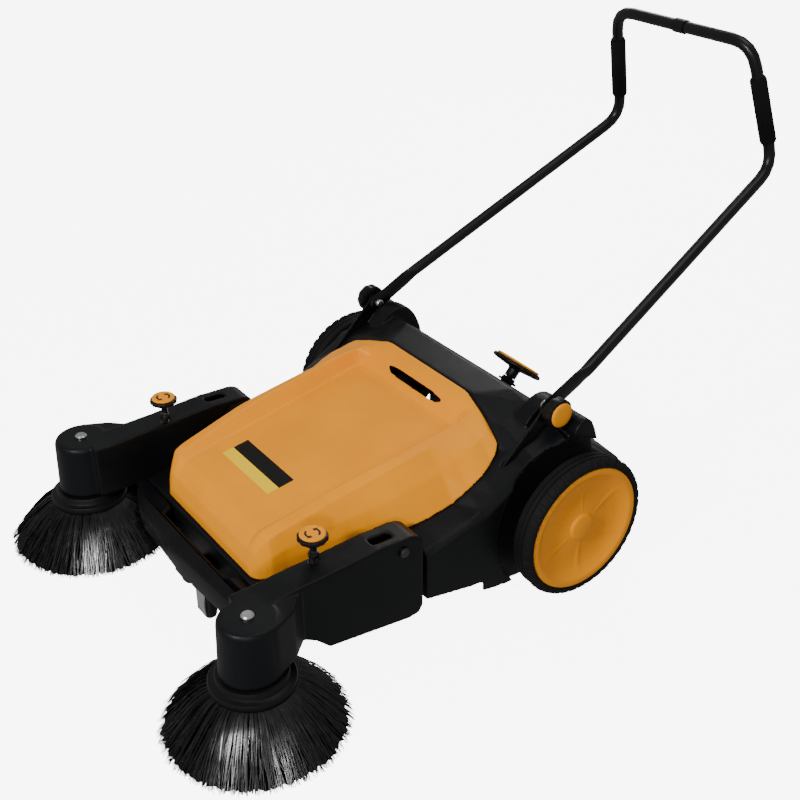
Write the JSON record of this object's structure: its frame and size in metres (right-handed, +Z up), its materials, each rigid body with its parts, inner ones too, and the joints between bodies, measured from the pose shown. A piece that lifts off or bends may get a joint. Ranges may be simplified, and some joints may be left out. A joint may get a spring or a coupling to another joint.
{
  "type": "walk behind sweeper",
  "caption": "Push sweeper with a lift-out dust hopper, two angled side brushes on swing arms, rear drive wheels, a front caster and a folding looped handle.",
  "frame": {"origin": "on the floor under the middle of the machine's footprint, handle included", "axes": "+Y towards the handle, -Y towards the side brushes, +X to the operator's left, +Z up"},
  "size_m": [0.924, 1.3516, 0.8566],
  "materials": {
    "orange_plastic": "smooth moulded, slight gloss",
    "black_plastic": "fine grained moulded",
    "knob_plastic": "fine grained moulded",
    "gear_plastic": "smooth moulded",
    "tyre_rubber": "matt rubber",
    "skirt_rubber": "matt rubber sheet",
    "grip_foam": "closed-cell foam sleeve",
    "bristle": "stiff drawn filament",
    "painted_tube": "powder coated, satin",
    "dark_steel": "blackened and oiled",
    "bare_steel": "zinc plated"
  },
  "bodies": {
    "chassis": {"body_shell": "black_plastic", "front_bar": "black_plastic", "axle": "bare_steel", "axle_bearing_right": "gear_plastic", "handle_bracket_left": "painted_tube", "handle_bracket_right": "painted_tube", "arm_mount_left": "painted_tube", "arm_mount_right": "painted_tube", "rear_skirt": "skirt_rubber", "caster_plate": "black_plastic", "adjuster_guide": "black_plastic"},
    "hopper": {"hopper_cover": "orange_plastic", "hopper_bin": "black_plastic"},
    "handlebar": {"handle_tube_left": "painted_tube", "handle_tube_right": "painted_tube", "grip_left": "grip_foam", "grip_right": "grip_foam", "handle_collar": "knob_plastic", "clamp_bolt_left": "bare_steel", "clamp_bolt_right": "bare_steel"},
    "clamp_left": {"clamp_knob_left": "knob_plastic", "clamp_cap_left": "orange_plastic"},
    "clamp_right": {"clamp_knob_right": "knob_plastic", "clamp_cap_right": "orange_plastic"},
    "wheel_left": {"tyre_left": "tyre_rubber", "rim_left": "orange_plastic", "drive_gear_left": "gear_plastic"},
    "wheel_right": {"tyre_right": "tyre_rubber", "rim_right": "orange_plastic", "hub_spacer_right": "gear_plastic"},
    "carrier": {"brush_carrier": "painted_tube"},
    "main_brush": {"main_brush_core": "gear_plastic", "main_brush_bristles": "bristle", "main_brush_pinion": "gear_plastic"},
    "main_adjuster": {"adjuster_wheel": "knob_plastic", "adjuster_cap": "orange_plastic"},
    "caster_swivel": {"caster_fork": "bare_steel"},
    "caster_roller": {"caster_wheel": "tyre_rubber"},
    "arm_left": {"arm_left": "black_plastic", "pivot_bolt_left": "dark_steel"},
    "side_brush_left": {"brush_disc_left": "gear_plastic", "brush_bristles_left": "bristle", "brush_shaft_left": "bare_steel"},
    "lift_left": {"lift_screw_left": "dark_steel", "lift_knob_left": "knob_plastic", "lift_cap_left": "orange_plastic"},
    "arm_right": {"arm_right": "black_plastic", "pivot_bolt_right": "dark_steel"},
    "side_brush_right": {"brush_disc_right": "gear_plastic", "brush_bristles_right": "bristle", "brush_shaft_right": "bare_steel"},
    "lift_right": {"lift_screw_right": "dark_steel", "lift_knob_right": "knob_plastic", "lift_cap_right": "orange_plastic"}
  },
  "joints": [
    {"name": "wheel_left_spin", "type": "hinge", "parent": "chassis", "child": "wheel_left", "pos_m": [0.341, 0.1034, 0.1323], "axis": [1, 0, 0], "continuous": true},
    {"name": "wheel_right_spin", "type": "hinge", "parent": "chassis", "child": "wheel_right", "pos_m": [-0.341, 0.1034, 0.1323], "axis": [1, 0, 0], "continuous": true},
    {"name": "carrier_tilt", "type": "hinge", "parent": "chassis", "child": "carrier", "pos_m": [0, 0.1034, 0.1323], "axis": [1, 0, 0], "range_deg": [-5, 0]},
    {"name": "main_brush_spin", "type": "hinge", "parent": "carrier", "child": "main_brush", "pos_m": [0, -0.0348, 0.09], "axis": [1, 0, 0], "continuous": true},
    {"name": "main_adjuster_turn", "type": "hinge", "parent": "chassis", "child": "main_adjuster", "pos_m": [0, 0.2232, 0.2176], "axis": [0, 0.6442, 0.7648], "range_deg": [-720, 0]},
    {"name": "handle_fold", "type": "hinge", "parent": "chassis", "child": "handlebar", "pos_m": [0, 0.0968, 0.3269], "axis": [1, 0, 0], "range_deg": [-15, 150]},
    {"name": "clamp_left_turn", "type": "hinge", "parent": "handlebar", "child": "clamp_left", "pos_m": [0.275, 0.0968, 0.3269], "axis": [1, 0, 0], "range_deg": [0, 720]},
    {"name": "clamp_right_turn", "type": "hinge", "parent": "handlebar", "child": "clamp_right", "pos_m": [-0.275, 0.0968, 0.3269], "axis": [-1, 0, 0], "range_deg": [0, 720]},
    {"name": "caster_swivel_turn", "type": "hinge", "parent": "chassis", "child": "caster_swivel", "pos_m": [0, -0.4628, 0.065], "axis": [0, 0, 1], "continuous": true},
    {"name": "caster_roller_spin", "type": "hinge", "parent": "caster_swivel", "child": "caster_roller", "pos_m": [0.04, -0.4628, 0.025], "axis": [0, 1, 0], "continuous": true},
    {"name": "hopper_lift", "type": "slide", "parent": "chassis", "child": "hopper", "axis": [0, 0, 1], "range_m": [0, 0.25]},
    {"name": "arm_left_tilt", "type": "hinge", "parent": "chassis", "child": "arm_left", "pos_m": [0.274, -0.2368, 0.197], "axis": [1, 0, 0], "range_deg": [-4, 0]},
    {"name": "side_brush_left_spin", "type": "hinge", "parent": "arm_left", "child": "side_brush_left", "pos_m": [0.307, -0.5208, 0.094], "axis": [0, 0, 1], "continuous": true},
    {"name": "lift_left_turn", "type": "hinge", "parent": "arm_left", "child": "lift_left", "pos_m": [0.257, -0.3758, 0.23], "axis": [0, 0, 1], "range_deg": [-720, 0]},
    {"name": "arm_right_tilt", "type": "hinge", "parent": "chassis", "child": "arm_right", "pos_m": [-0.274, -0.2368, 0.197], "axis": [1, 0, 0], "range_deg": [-4, 0]},
    {"name": "side_brush_right_spin", "type": "hinge", "parent": "arm_right", "child": "side_brush_right", "pos_m": [-0.307, -0.5208, 0.094], "axis": [0, 0, 1], "continuous": true},
    {"name": "lift_right_turn", "type": "hinge", "parent": "arm_right", "child": "lift_right", "pos_m": [-0.257, -0.3758, 0.23], "axis": [0, 0, 1], "range_deg": [-720, 0]}
  ],
  "couplings": [
    {"joint": "main_brush_spin", "follows": "wheel_left_spin", "ratio": -2},
    {"joint": "side_brush_left_spin", "follows": "wheel_left_spin", "ratio": -1.5},
    {"joint": "side_brush_right_spin", "follows": "wheel_right_spin", "ratio": 1.5},
    {"joint": "main_adjuster_turn", "follows": "carrier_tilt", "ratio": 144},
    {"joint": "lift_left_turn", "follows": "arm_left_tilt", "ratio": 180},
    {"joint": "lift_right_turn", "follows": "arm_right_tilt", "ratio": 180}
  ]
}
